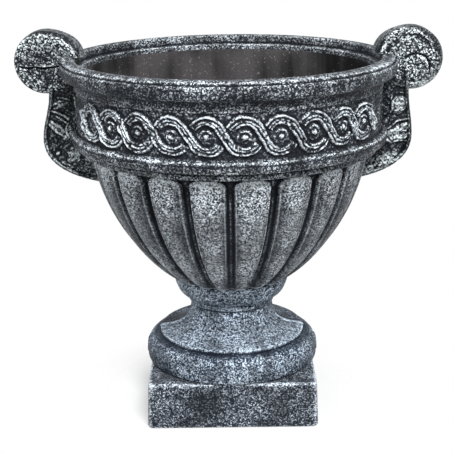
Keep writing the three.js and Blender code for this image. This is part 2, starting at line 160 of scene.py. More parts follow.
# proud: how far a point stands above its close surroundings, from -1 in a crease to 1 on an edge
# deep: 1 well down in a hollow, 0 on open surface
def storeWear(piece, closeSteps=12, wideSteps=44, fullEdge=0.55, fullDepth=2.2):
    mesh = piece.data
    count = len(mesh.vertices)
    places = vertexArray(piece)
    edges = np.empty(len(mesh.edges) * 2, dtype=np.int32)
    mesh.edges.foreach_get("vertices", edges)
    a, b = edges.reshape(-1, 2).T
    normals = np.empty(count * 3, dtype=np.float32)
    mesh.vertex_normals.foreach_get("vector", normals)
    normals = normals.reshape(-1, 3)
    degree = np.maximum(np.bincount(a, minlength=count) + np.bincount(b, minlength=count), 1)
    smoothed = places.astype(float)
    for step in range(1, wideSteps + 1):
        for i in range(3):
            values = smoothed[:, i]
            around = np.bincount(a, values[b], count) + np.bincount(b, values[a], count)
            smoothed[:, i] = 0.4 * values + 0.6 * around / degree
        if step == closeSteps:
            close = ((places - smoothed) * normals).sum(axis=1)
    wide = ((places - smoothed) * normals).sum(axis=1)
    storeValue(piece, "proud", np.clip(close / fullEdge, -1, 1))
    storeValue(piece, "deep", np.clip(-wide / fullDepth, 0, 1))


# paint: how much of the brush a place takes; grit: how strong its grain is; inside: the plain lining
def storeFinish(piece, paint, grit=1.0, inside=0.0):
    count = len(piece.data.vertices)
    for name, values in (("paint", paint), ("grit", grit), ("inside", inside)):
        storeValue(piece, name, np.broadcast_to(np.ravel(values), (count,)))


def shadeSmooth(piece, angle=35):
    mesh = piece.data
    mesh.polygons.foreach_set("use_smooth", np.ones(len(mesh.polygons), dtype=bool))
    mesh.set_sharp_from_angle(angle=math.radians(angle))


# profile rows of (radius, height); column 0 faces the camera, then towards +X
def revolve(profile, columns):
    angle = np.arange(columns) / columns * tau
    radius, height = profile[:, 0][:, None], profile[:, 1][:, None]
    return radius, height + 0 * angle[None, :], angle[None, :] + 0 * radius


def onAxis(radius, height, angle):
    return np.stack([radius * np.sin(angle), -radius * np.cos(angle), height], axis=-1)


# slow unevenness of a hand-finished casting
def wobble(angle, height, size, seed):
    rng = np.random.default_rng(seed)
    total = 0
    for turns, waves in ((3, 0.012), (5, 0.03), (9, 0.05), (14, 0.11), (23, 0.19)):
        phase = rng.uniform(0, tau, 2)
        swing = np.sin(turns * angle + phase[0]) * np.sin(waves * height * tau + phase[1])
        total += swing / turns ** 0.4
    return total * size / 2.5


# small wandering of hand-carved lines, mostly -1 to 1
def rumple(u, v, wave, seed):
    rng = np.random.default_rng(seed)
    total = 0
    for k in range(7):
        turn, phase = rng.uniform(0, tau, 2)
        length = wave * rng.uniform(0.7, 2.4)
        total += np.sin((u * math.cos(turn) + v * math.sin(turn)) * tau / length + phase)
    return total / 3.2


# Bowl
bowl = {
    "columns": 1440,
    "lobes": 20, "lobeRiseTop": 7.0, "lobeRiseBottom": 4.0, "fillet": 0.6, "archStart": 0.905,
    "grooveExtra": 1.8, "grooveFloor": 2.0, "grooveWall": 3.0,
    "seat": 133, "lobeTop": 262, "joinRadius": 57.5, "crestRadius": 134.6,
    "friezeRadius": 147, "friezeBottom": 284, "friezeTop": 323,
    "rimRadius": 161, "rimTop": 353, "mouthRadius": 146, "wallRadius": 140,
    "floor": 147, "floorRadius": 40, "drainRadius": 13,
    "underside": 125, "wallTop": 338, "recessTop": 322, "recessBottom": 287,
    "eyePitch": 12.4, "eyeShift": -1.3, "bracketTurn": 83,      # in degrees
    "eyesPerSide": 10, "eyesLeftOut": 1,
    "strandRadius": 13.7, "strandHalf": 4.7, "ridgeAt": 2.9, "relief": 4.2,
    "washerFlat": 141.8, "washerLevels": (291, 316), "washerReach": 8,
}
lobeZone, upperZone, insideZone = 1, 2, 3      # parts of the profile; 0 is the seat, 4 the drain hole


def groundCurve(count):
    join, crest, seat = bowl["joinRadius"], bowl["crestRadius"], bowl["seat"]
    return bezier([(join - bowl["lobeRiseBottom"], seat), (join + 25, seat + 19),
                   (crest - 15, seat + 63), (crest - bowl["lobeRiseTop"], bowl["lobeTop"])], count)


def upperCorners():
    band, rim, top = bowl["friezeRadius"], bowl["rimRadius"], bowl["rimTop"]
    mouth, wall = bowl["mouthRadius"], bowl["wallRadius"]
    return [
        (130, 262, 0), (137.5, 262.6, 1.2), (140.5, 263.2, 0.6),
        (144.4, 264.3, 2), (144.6, 268.2, 2), (141.6, 269.4, 0.5), (142.4, 270.4, 0.4),
        (151.2, 270.8, 3.6), (153.2, 275.6, 4), (152.4, 281.6, 2.4), (148.8, 283.4, 1.2), (band, 284.4, 1),
        (band, 323.6, 0.4), (band + 1, 324.4, 0.5), (band + 1, 330, 1.6),
        (band + 2.4, 333.4, 2), (band + 6, 335.2, 1.5), (rim - 3, 335.4, 1.6), (rim - 0.1, 338.6, 3),
        (rim, 344, 3), (rim - 0.5, 348.2, 0.5), (rim - 2.3, 348.7, 0.4), (rim - 2.3, 350.9, 0.9),
        (rim - 5, 352, 1.6), (151, top, 3), (mouth + 0.4, top - 0.8, 2.2),
        (mouth, 344.2, 0.8), (wall + 0.3, 343.2, 0.8), (wall, bowl["wallTop"], 0),
    ]


def bowlProfile():
    wall, floor, floorReach = bowl["wallRadius"], bowl["floor"], bowl["floorRadius"]
    drain, under, seat = bowl["drainRadius"], bowl["underside"], bowl["seat"]
    high, low = bowl["recessTop"], bowl["recessBottom"]
    spigot = resample([(drain, under), (38, under), (38, seat), (53.5, seat)], 4)
    lobes = resample(groundCurve(200), 1.35)
    upper = resample(roundedLine(upperCorners()), 0.72)
    shoulder = (wall - 16.5, 259)
    cavity = np.vstack([
        bezier([(wall, low), (wall - 0.6, 281), (wall - 7, 272), shoulder], 20)[:-1],
        bezier([shoulder, (wall - 37, 197), (floorReach + 27, floor + 5), (floorReach, floor)], 60)])
    inner = np.vstack([resample([(wall, bowl["wallTop"]), (wall, high)], 3)[:-1],
                       resample([(wall, high), (wall, low)], 1.6)[:-1], resample(cavity, 6)])
    hole = resample([(floorReach, floor), (drain, floor), (drain, under)], 6)
    parts = [part[:-1] for part in (spigot, lobes, upper, inner, hole)]
    zones = np.concatenate([np.full(len(part), i) for i, part in enumerate(parts)])
    return np.vstack(parts), zones


# rise over the ground, distance from the groove's line, which arches over the lobe, and share of its height
def lobeShape(height, angle, radius):
    share = np.clip((height - bowl["seat"]) / (bowl["lobeTop"] - bowl["seat"]), 0, 1)
    turn = angle / tau * bowl["lobes"]
    across = np.abs(2 * (turn - np.floor(turn)) - 1)
    half = math.pi * radius / bowl["lobes"]
    head = np.clip((share - bowl["archStart"]) / (1 - bowl["archStart"]), 0, 1)
    arch = (1 - head ** 3.2) ** (1 / 2.6)
    away = (arch - across) * half * np.where(head > 0, 1 + 0.25 * head, 1)
    floor, wall = bowl["grooveFloor"], bowl["grooveWall"]
    rise = bowl["lobeRiseBottom"] + (bowl["lobeRiseTop"] - bowl["lobeRiseBottom"]) * share
    body = np.clip((away - floor - 0.5 * wall) / (half - floor - 0.5 * wall), 0, 1)
    lobe = rise * (0.56 * ease(away, floor, floor + wall) + 0.44 * (1 - (1 - body) ** 2.1))
    sunk = bowl["grooveExtra"] * ease(share, 0.0, 0.10) * (1 - ease(share, 0.90, 0.98))
    lobe = lobe - sunk * (1 - ease(away, floor, floor + wall))
    thread = bowl["fillet"] * hill((1 - across) * half, 0.95)
    thread = thread * ease(share, 0.03, 0.14) * (1 - ease(share, 0.80, 0.87))
    return lobe + thread, away, share


# offset from the arc over an eye, where the arc runs, and its order in the overlap
def arcOverEye(x, y):
    a = bowl["strandRadius"]
    lean = math.acos(2 * a / friezePitch())
    tuck = math.radians(150)
    angle = np.arctan2(y, x)
    runs = (angle >= lean - 0.02) & (angle <= tuck)
    return np.hypot(x, y) - a, runs, 1 - (angle - lean) / (tuck - lean)


def friezePitch():
    return math.radians(bowl["eyePitch"]) * bowl["friezeRadius"]


# two raised edges with a furrow between them
def strandSection(offset, width, strength):
    half = bowl["strandHalf"] * width
    body = 0.40 * (1 - ease(np.abs(offset), half - 0.9, half + 0.1))
    at = bowl["ridgeAt"] * width
    ridges = hill(offset - at, 0.85) * strength[0] + hill(offset + at, 0.85) * strength[1]
    middle = hill(offset + 0.4, 0.75) * strength[2]
    return body + 0.60 * ridges + 0.50 * middle


def friezeRelief(height, angle):
    pitch, a = friezePitch(), bowl["strandRadius"]
    lean = math.acos(2 * a / pitch)
    side = np.where(np.cos(angle) > 0, 0.0, math.pi)
    local = (angle - side + math.pi) % tau - math.pi
    s = (local - math.radians(bowl["eyeShift"])) * bowl["friezeRadius"]
    y = height - 0.5 * (bowl["friezeBottom"] + bowl["friezeTop"])
    s = s + 0.8 * rumple(s, y, 30, 21) + 0.12 * rumple(s, y, 4.5, 22)
    y = y + 0.8 * rumple(s, y, 32, 23) + 0.12 * rumple(s, y, 4.0, 24)
    width = 1 + 0.10 * rumple(s, y, 20, 25)
    strength = [np.clip(0.72 + 0.75 * rumple(s, y, wave, seed), 0, 1.3)
                for wave, seed in ((11, 26), (9, 28), (8, 29))]
    lastEye = (bowl["eyesPerSide"] - 1) / 2 * pitch
    firstEye = -lastEye + bowl["eyesLeftOut"] * pitch
    nearest = np.round((s / pitch) - 0.5) + 0.5
    best = np.full(s.shape, -1.0)
    relief = np.zeros(s.shape)
    diagonal = np.array([pitch - 2 * a * math.cos(lean), -2 * a * math.sin(lean)])
    length = np.linalg.norm(diagonal)
    diagonal = diagonal / length
    for shift in (-1, 0, 1):
        eyeS = (nearest + shift) * pitch
        x = s - eyeS
        live = (eyeS >= -lastEye - pitch - 1) & (eyeS <= lastEye + 1)
        headOffset, headRuns, headOrder = arcOverEye(x, y)
        tailOffset, tailRuns, tailOrder = arcOverEye(pitch - x, -y)
        px, py = x - a * math.cos(lean), y - a * math.sin(lean)
        t = (px * diagonal[0] + py * diagonal[1]) / length
        cross = px * diagonal[1] - py * diagonal[0]
        middleRuns = (t > -0.15) & (t < 1.15)
        for offset, where, order in ((headOffset, headRuns & (eyeS >= -lastEye - 1), headOrder),
                                     (tailOffset, tailRuns & (eyeS < lastEye - 1), tailOrder),
                                     (cross, middleRuns, 1.2 + 0 * headOrder)):
            inside = live & where & (np.abs(offset) < bowl["strandHalf"] + 0.5) & (order > best)
            section = strandSection(offset, width, strength) * (0.55 + 0.45 * np.clip(order, 0, 1))
            relief = np.where(inside, section, relief)
            best = np.where(inside, order, best)
    x = s - nearest * pitch
    hasEye = (nearest * pitch <= lastEye + 1) & (nearest * pitch >= firstEye - 1)
    kind = rumple(nearest * pitch, 0 * y, 40, 27)
    radius, turn = np.hypot(x, y * (1.05 + 0.1 * kind)), np.arctan2(y, x)
    curl = 3.4 + 3.6 * ((turn + 2.4 + kind) % tau) / tau
    whorl = 0.40 * hill(radius - curl, 0.85) * (0.6 + 0.7 * rumple(x, y, 7, 30))
    eye = 0.22 * (1 - ease(radius, 5.6, 7.4)) + whorl
    eye = np.maximum(eye * (radius < 8), 0.95 * hill(radius, 2.6))
    relief = np.where(hasEye & (best < 0), np.maximum(relief, eye), relief)
    chips = 0.055 * rumple(s, y, 2.6, 52) + 0.05 * rumple(s, y, 4.1, 53)
    return (relief + chips) * bowl["relief"]


def makeBowl():
    profile, zones = bowlProfile()
    radius, height, angle = revolve(profile, bowl["columns"])
    radius = radius + 0 * angle
    zone = zones[:, None] + 0 * angle
    paint = np.full(radius.shape, 0.16)

    onLobes, onUpper = zone == lobeZone, zone == upperZone
    sideways = np.abs(np.sin(angle))
    lobe, away, share = lobeShape(height, angle, radius)
    radius = np.where(onLobes, radius + lobe, radius)
    uneven = 0.5 + 0.5 * rumple(away, height, 26, 51)
    turn = angle / tau * bowl["lobes"]
    # painted shade: the inner flank of each lobe, the one turned towards the front, stays darker and smoother
    # over a wider band, the more so towards the sides of the bowl
    outerFlank = ((turn - np.floor(turn)) < 0.5) != (np.sin(angle) > 0)
    spread = np.where(outerFlank, 6.0, 7.0 + 6.0 * ease(sideways, 0.05, 0.35)) * (0.7 + 0.5 * uneven)
    lobePaint = 0.17 + 0.06 * ease(away, 2.2, 4.2) + 0.26 * ease(away, 3.2, 3.2 + spread)
    lobePaint += 0.16 * ease(share, 0.82, 0.97) * ease(away, 2.2, 4.4)
    lobePaint += 0.08 * (1 - ease(share, 0.05, 0.5)) * ease(away, 3, 5)
    bothSides = 0.25 + 0.55 * (1 - ease(share, 0.15, 0.5))
    edgeLine = hill(away - 4.6, 0.6) * np.where(outerFlank, 1, bothSides) * ease(uneven, 0.35, 0.8)
    lobePaint += 0.34 * edgeLine
    paint = np.where(onLobes, lobePaint, paint)
    lobeGrit = 0.66 + 0.62 * ease(share, 0.66, 0.90) + 0.24 * (1 - ease(share, 0.1, 0.5))
    lobeGrit *= np.where(outerFlank, 1, 0.55 + 0.45 * ease(away, 6, 6 + 0.6 * spread))
    grit = np.where(onLobes, lobeGrit, 1.05)

    band, low, high = bowl["friezeRadius"], bowl["friezeBottom"], bowl["friezeTop"]
    onBand = onUpper & (height > low + 0.2) & (height < high + 0.6) & (radius < band + 1)
    carved = friezeRelief(height, angle)
    bare = 0.5 + 0.5 * rumple(angle * band, height, 11, 54)
    behindBracket = sideways > math.sin(math.radians(bowl["bracketTurn"]))
    carved = np.where(onBand & ~behindBracket, carved, 0)
    radius = radius + carved
    ground = -0.10 + 0.22 * bare + 0.24 * ease(height, 316, 324)
    paint = np.where(onBand, ground + 0.62 * ease(carved, 0.9, 2.8) + 0.12 * ease(carved, 2.4, 3.4), paint)
    paint = np.where(onUpper & (height > high) & (radius < 151), 0.21, paint)
    onRim = onUpper & (height > 334) & (radius > 151)
    # painted sheen: the rim is painted lighter and smoother where it turns away to the sides
    sideSheen = ease(sideways, 0.55, 0.95)
    paint = np.where(onRim, 0.04 + 0.08 * ease(height, 338, 350) + 0.06 * sideSheen, paint)
    grit = np.where(onRim, 1.2 - 0.45 * sideSheen, grit)
    broken = 0.4 + 0.6 * ease(rumple(angle * 150, height, 9, 55), -0.5, 0.5)
    # edges that the brush has caught: height, half width, strength
    for at, half, top in ((272.4, 0.5, 0.25), (281.2, 0.9, 0.50), (346.9, 0.6, 0.30), (351.6, 0.7, 0.45)):
        paint += np.where(onUpper, top * broken * hill(height - at, half) * (radius > 149), 0)
    paint -= np.where(onUpper & (radius > 140), 0.5 * hill(height - 278.4, 0.5), 0)
    paint = np.where(zone >= insideZone, 0.0, paint)

    flat = bowl["washerFlat"] / sideways.clip(0.9)      # under the handle washers
    for level in bowl["washerLevels"]:
        near = np.hypot(radius * np.cos(angle), height - level) < bowl["washerReach"]
        radius = np.where((zone == insideZone) & near, np.maximum(radius, flat), radius)

    cast = (onLobes | onUpper) & (height < 340)
    radius = radius + np.where(cast, wobble(angle, height, 0.22, 4), 0)
    piece = gridMesh("bowlCasting", onAxis(radius, height, angle), closeRows=True)
    storeFinish(piece, paint, grit, zone >= insideZone)
    return piece


# Foot
foot = {
    "columns": 720, "bottom": 46.4, "bore": 16, "spigot": 60, "spigotDepth": 5,
    "cushion": 86.0, "lipRadius": 72.6, "lipTop": 77, "neck": 39.6, "ringRadius": 42.6,
    "collar": 56, "top": 132.6, "socket": 38.4, "socketFloor": 124.6, "seamHeight": 1.1,
}


def footCorners():
    low, spigot, cushion, top = foot["bottom"], foot["spigot"], foot["cushion"], foot["top"]
    under, lip, lipTop = low - foot["spigotDepth"], foot["lipRadius"], foot["lipTop"]
    ring, collar = foot["ringRadius"], foot["collar"]
    socket, socketFloor = foot["socket"], foot["socketFloor"]
    return [
        (foot["bore"], under, 0), (spigot, under, 0.3), (spigot, low, 0.3),
        (82.6, low, 0.8), (86.0, 47.2, 1.8), (cushion, 52, 3), (cushion - 0.3, 58.5, 5),
        (84.4, 66, 6), (78.2, 71, 3.5), (74.8, 71.7, 1.6), (lip, 72.4, 0.7), (lip + 0.1, lipTop - 0.9, 1.1),
        (lip - 2.5, lipTop, 1.2), (59, 78.3, 9), (46.4, 83.5, 9), (41.2, 92.5, 7), (foot["neck"], 104.6, 1),
        (ring, 105.6, 1.5), (ring + 0.3, 109.6, 1.5), (41.4, 110.7, 0.4), (44.9, 111.4, 2.5),
        (52.2, 116.6, 5), (collar - 0.6, 124, 5), (collar, 129.6, 3), (53.6, top, 1.6),
        (socket, top, 0.3), (socket, socketFloor, 0.3), (foot["bore"], socketFloor, 0),
    ]


def makeFoot():
    outer = resample(roundedLine(footCorners()), 0.9)
    bore = foot["bore"]
    hole = resample([(bore, foot["socketFloor"]), (bore, foot["bottom"] - foot["spigotDepth"])], 8)
    profile = np.vstack([outer[:-1], hole[:-1]])
    radius, height, angle = revolve(profile, foot["columns"])
    radius = radius + 0 * angle
    shown = (radius > 38) & (height > foot["bottom"] + 0.5) & (height < foot["top"] - 0.5)

    # the parting seam runs up the middle of front and back; the flatter the skirt, the wider it is
    front = np.cos(angle)
    facing = np.abs(front)
    fromSeam = facing * radius
    waver = 0.5 * np.sin(height * 0.5) + 0.4 * np.sin(height * 0.23 + 1)
    flat = ease(height, 75, 77) * (1 - ease(height, 82, 92))
    seam = hill(fromSeam - waver * np.sign(front), 1.1 + 1.9 * flat)
    radius = radius + np.where(shown, foot["seamHeight"] * seam + wobble(angle, height, 0.35, 9), 0)
    height = height + np.where((height > 77) & (radius > 44), 0.9 * seam * flat, 0)

    onCushion = height < 72
    onTrumpet = (height > 76) & (height < 104)
    # painted light: the foot is painted lighter where it faces front and back and darker towards its sides,
    # and the cushion takes painted shade low down at its sides near the plinth
    nearPlinth = 1 - ease(height, 47, 63)
    cushionPaint = 0.22 + 0.13 * facing - 0.34 * nearPlinth * (1 - ease(facing, 0.55, 0.95))
    seamPaint = (0.22 + 0.28 * flat) * seam
    seamPaint -= 0.25 * flat * hill(fromSeam - 6.5, 2.0) * (front < 0)
    paint = 0.42 + 0.08 * facing
    paint = np.where(onCushion, cushionPaint, paint)
    paint = np.where((height > 111) & (radius > 43), 0.39 + 0.07 * facing, paint)
    # painted shade: the back of the trumpet darkens towards its sides
    paint = np.where((front < 0) & onTrumpet, 0.12 + 0.36 * ease(facing, 0.25, 0.7), paint)
    paint += 0.06 * rumple(angle * 70, height, 34, 61)
    paint += np.where(onTrumpet | onCushion, seamPaint, 0)
    # painted shade in the step under the lip
    paint -= np.where((height > 70) & (height < 74), 0.30, 0)
    paint = np.where(shown, paint, 0.1)
    piece = gridMesh("footCasting", onAxis(radius, height, angle), closeRows=True)
    storeFinish(piece, paint)
    return piece


# Plinth
plinth = {
    "half": 83.5, "draft": 1.5, "corner": 5.5, "edge": 2.6, "height": 46, "points": 440,
    "bore": 16, "seatRadius": 60.4, "seatDepth": 5.4, "pocketRadius": 8, "pocketDepth": 12, "screwCircle": 46,
}


def squareRing(half, corner, count):
    inner = half - corner
    centres = [(inner, -inner, -90), (inner, inner, 0), (-inner, inner, 90), (-inner, -inner, 180)]
    ring = []
    for x, y, start in centres:
        for degrees in np.linspace(start, start + 90, 12):
            turn = math.radians(degrees)
            ring.append((x + corner * math.cos(turn), y + corner * math.sin(turn)))
    ring.append(ring[0])
    return resample(ring, 8 * half / count)[:-1]


def makePlinth():
    edge, tall, half = plinth["edge"], plinth["height"], plinth["half"]
    base = squareRing(half, plinth["corner"], plinth["points"])
    sides = [(half * 0.2, 0), (half - edge, 0)]
    for turn in np.linspace(0, math.pi / 2, 6):
        sides.append((half - edge + edge * math.sin(turn), edge - edge * math.cos(turn)))
    for z in np.linspace(edge, tall - edge, 24)[1:-1]:
        sides.append((half, z))
    for turn in np.linspace(0, math.pi / 2, 6):
        sides.append((half - edge + edge * math.cos(turn), tall - edge + edge * math.sin(turn)))
    sides.append((half * 0.2, tall))
    rows = []
    for reach, z in resample(sides, 1.9):
        scale = (reach - plinth["draft"] * z / tall) / half
        rows.append(np.column_stack([base * scale, np.full(len(base), z)]))
    grid = np.array(rows)
    dents = wobble(np.arctan2(grid[..., 0], -grid[..., 1]), grid[..., 2] * 2, 0.30, 12)
    away = np.linalg.norm(grid[..., :2], axis=-1, keepdims=True)
    side = ((grid[..., 2] > 1) & (grid[..., 2] < tall - 1))[..., None]
    grid[..., :2] += np.where(side, grid[..., :2] / away * (dents[..., None] - 0.25), 0)
    piece = gridMesh("plinthCasting", grid, ends=(0, -1))
    cutters = [cylinder("boreCutter", plinth["bore"], -2, tall + 2, 0, 0),
               cylinder("seatCutter", plinth["seatRadius"], tall - plinth["seatDepth"], tall + 2, 0, 0)]
    for i in range(3):
        turn = i * tau / 3
        x, y = plinth["screwCircle"] * math.sin(turn), -plinth["screwCircle"] * math.cos(turn)
        cutters.append(cylinder(f"pocketCutter{i}", plinth["pocketRadius"], -2, plinth["pocketDepth"], x, y))
    for cutter in cutters:
        cutAway(piece, cutter)
    x, y, z = vertexArray(piece).T
    reach = half - plinth["draft"] * z / tall
    across, along = np.maximum(np.abs(x), np.abs(y)), np.minimum(np.abs(x), np.abs(y))
    broken = 0.35 + 0.65 * ease(rumple(x + y, z + x - y, 14, 62), -0.6, 0.5)
    topEdge = hill(z - tall + 1.0, 0.9) * (across > reach - 2.4)
    corner = hill(reach - across - 1.2, 1.2) * hill(reach - along - 2.6, 1.6)
    paint = 0.17 - 0.16 * (1 - ease(z, 0, 5)) + 0.50 * topEdge * broken + 0.40 * corner * broken
    storeFinish(piece, paint - 0.03)
    return piece


def cylinder(name, radius, low, high, x, y, sides=48):
    profile = np.array([(radius, low), (radius, high)], float)
    r, z, angle = revolve(profile, sides)
    grid = onAxis(r + 0 * angle, z, angle) + np.array((x, y, 0))
    return gridMesh(name, grid, ends=(0, -1))


def applyModifiers(piece):
    bpy.context.view_layer.update()
    ready = bpy.data.meshes.new_from_object(piece.evaluated_get(bpy.context.evaluated_depsgraph_get()))
    old = piece.data
    piece.modifiers.clear()
    piece.data = ready
    bpy.data.meshes.remove(old)


def combine(piece, other, operation):
    modifier = piece.modifiers.new("join", "BOOLEAN")
    modifier.object = other
    modifier.operation = operation
    modifier.solver = "MANIFOLD"
    applyModifiers(piece)
    bpy.data.objects.remove(other)


def cutAway(piece, cutter):
    combine(piece, cutter, "DIFFERENCE")


# Handles: the volute is a roll lying along Y, the bracket a strap that swells and tucks in below
handle = {
    "voluteX": 174.0, "voluteZ": 348.6, "voluteRadius": 29.8, "voluteHalf": 12.6, "neckReach": 6.0,
    "eyeX": 4.5, "eyeZ": -8.5, "eyeRadius": 12.8,
    "bracketHalf": 15.8, "bracketReach": 175.8, "panelDepth": 3.4, "strap": 3.6, "gap": 0.4,
    "leftBelly": 3.6, "leftDrop": 1.2,
    # front and back are turns round the bowl in degrees
    "tongue": {"front": 21, "back": 12, "radius": 155, "half": 7.6, "z": 351.4, "rise": 4.4},
}


# x outwards and z up from the roll's centre; height over the face
def voluteRelief(x, z, side):
    radius = np.hypot(x, z)
    big = handle["voluteRadius"]
    x = x + 0.6 * rumple(x, z, 13, 31 + side)
    z = z + 0.6 * rumple(x, z, 12, 33 + side)
    fromEye = np.hypot(x - handle["eyeX"], z - handle["eyeZ"])
    turn = np.degrees(np.arctan2(z - handle["eyeZ"], x - handle["eyeX"]))
    lip = 0.9 * hill(radius - (big - 5.6), 1.0) * (0.45 + 0.55 * ease(turn, -10, 40))
    grit = 0.22 * rumple(x, z, 3.2, 35 + side) + 0.14 * rumple(x, z, 2.1, 36 + side)
    scratch = -1.3 * hill(z - handle["eyeZ"] - 3.2 - 0.06 * x, 0.8) * hill(x - handle["eyeX"] + 1, 7)
    if side > 0:
        hollow = -0.5 * hill(radius - (big - 8.4), 2.2) * ease(turn, 20, 60)
        dome = 1.2 * ease(z, -4, 8) * (1 - ease(radius, 10, 22))
        overEye = ease(turn, -20, 10) * (1 - ease(turn, 130, 165))
        groove = -2.8 * hill(fromEye - handle["eyeRadius"], 1.4) * (0.10 + 0.90 * overEye)
        eye = 2.0 * np.sqrt(np.clip(1 - (fromEye / handle["eyeRadius"]) ** 2, 0, 1))
        seam = 1.3 * hill(z + 4.2, 0.8) * ease(x, 12, 16) - 1.4 * hill(z + 2.4, 0.9) * ease(x, 12, 16)
        height = lip + hollow + dome + groove + eye + scratch + seam + 1.3 * grit
    else:               # this one was cast with its upper half lapping over the lower
        edgeLine = z + 3.6 + 0.04 * x - 0.004 * x ** 2
        bulge = 2.6 * np.sqrt(np.clip(1 - (radius / big) ** 2, 0, 1)) * ease(edgeLine, -0.6, 0.6)
        seam = 0.9 * hill(edgeLine - 0.7, 0.8) - 1.8 * hill(edgeLine + 1.2, 1.2)
        seam = seam - 1.6 * hill(edgeLine - 3.6, 2.4) * ease(x, 4, 18)
        pit = -2.4 * hill(np.hypot(x - 17, z + 13), 4.0) - 1.6 * hill(np.hypot(x + 14, z + 12), 5.0)
        height = 0.5 * lip + bulge + seam + pit + grit
    return np.minimum(height, 2.3)


# what the brush has caught on a volute's face: its lip line, the seam and the eye, with painted shade on the
# band beyond the lip, under the lip and low down on the face
def volutePaint(x, z, side):
    radius, turn = np.hypot(x, z), np.degrees(np.arctan2(z, x))
    lower = 1 - ease(z, -10, -2)
    if side > 0:
        lipAt = 21.5 + 8.0 * ease(turn, 20, 130)
        above = ease(turn, 8, 25) * (1 - ease(turn, 165, 178))
        fromEye = np.hypot(x - handle["eyeX"], z - handle["eyeZ"]) - handle["eyeRadius"]
        paint = 0.28 + 0.45 * hill(radius - lipAt, 0.8) * above
        # painted shade on the top band beyond the lip
        paint -= 0.22 * ease(radius, lipAt + 1, lipAt + 3) * above
        underLip = ease(turn, 20, 45) * (1 - ease(turn, 85, 120))
        # painted shade under the lip
        paint -= 0.26 * hill(radius - lipAt + 4.5, 2.6) * underLip
        overEye = ease(z + 0.5 * x, -8, 2)
        paint += overEye * (0.35 * hill(fromEye + 1.6, 0.8) - 0.5 * hill(fromEye - 0.4, 0.9))
        paint += 0.30 * ease(x, -4, 4) * hill(z + 23, 5)
        # painted shade low down on the side towards the bowl
        paint -= 0.22 * ease(-x, 0, 10) * lower
        grit = 1.5 - 0.8 * ease(radius, lipAt + 0.5, lipAt + 2.5)
    else:
        lipAt = 29.2 - 3.6 * hill(turn - 100, 42)
        above = ease(turn, 15, 40) * (1 - ease(turn, 150, 172))
        paint = 0.22 + 0.50 * hill(radius - lipAt, 0.8) * above
        # painted shade on the top band beyond the lip
        paint -= 0.24 * ease(radius, lipAt + 0.8, lipAt + 2.4) * above
        paint -= 0.22 * hill(np.hypot(x - 2, 1.4 * (z - 6)), 6.5)
        paint += 0.45 * hill(z + 2.0 - 0.12 * x, 0.8) * ease(-x, -4, 1)
        # painted shade over the lower half
        paint -= 0.16 * lower
        paint += 0.22 * hill(np.hypot(x - 6, z + 16), 6) * lower
        paint += 0.35 * hill(radius - 28.2, 0.9) * lower * ease(x, 0, 8)
        grit = 1.45 - 0.8 * ease(radius, lipAt + 0.5, lipAt + 2.5)
    return paint, grit


# the left volute's upper half runs out along the rim's top as a thin tongue
def makeTongue():
    tongue = handle["tongue"]
    turns = np.radians(np.linspace(-tongue["back"], tongue["front"], 90))
    taper = np.where(turns > 0, 1 - turns / turns[-1], 1 - turns / turns[0]).clip(0.02) ** 0.6
    around = np.arange(40) / 40 * tau
    radius = tongue["radius"] + tongue["half"] * taper[:, None] * np.cos(around)
    height = tongue["z"] + tongue["rise"] * taper[:, None] * np.sin(around)
    grid = np.stack([-radius * np.cos(turns)[:, None], -radius * np.sin(turns)[:, None], height], axis=-1)
    return gridMesh("tonguePart", grid[:, ::-1], ends=(0, -1))


def makeVolute(side):
    half, big = handle["voluteHalf"], handle["voluteRadius"]
    line = roundedLine([(0.4, -half, 0), (big, -half, 3.8), (big, half, 3.8), (0.4, half, 0)])
    rows = resample(line, 0.62)
    angle = np.arange(300) / 300 * tau
    radius = rows[:, 0][:, None]
    depth = rows[:, 1][:, None] + 0 * angle
    x, z = radius * np.cos(angle), radius * np.sin(angle)
    onFace = 1 - ease(radius, big - 4.6, big - 2.4)
    relief = voluteRelief(x, z, side) * onFace
    depth = depth + np.sign(depth) * relief * (np.abs(rows[:, 1][:, None]) > half - 2)
    stretch = handle["neckReach"] * ease(-x / big, 0.1, 0.9) * ease(radius, 0.3 * big, big)
    grid = np.stack([side * (handle["voluteX"] + x - stretch), depth, handle["voluteZ"] + z], axis=-1)
    if side < 0:
        grid = grid[:, ::-1]
    return gridMesh("volutePart", grid[::-1], ends=(0, -1))


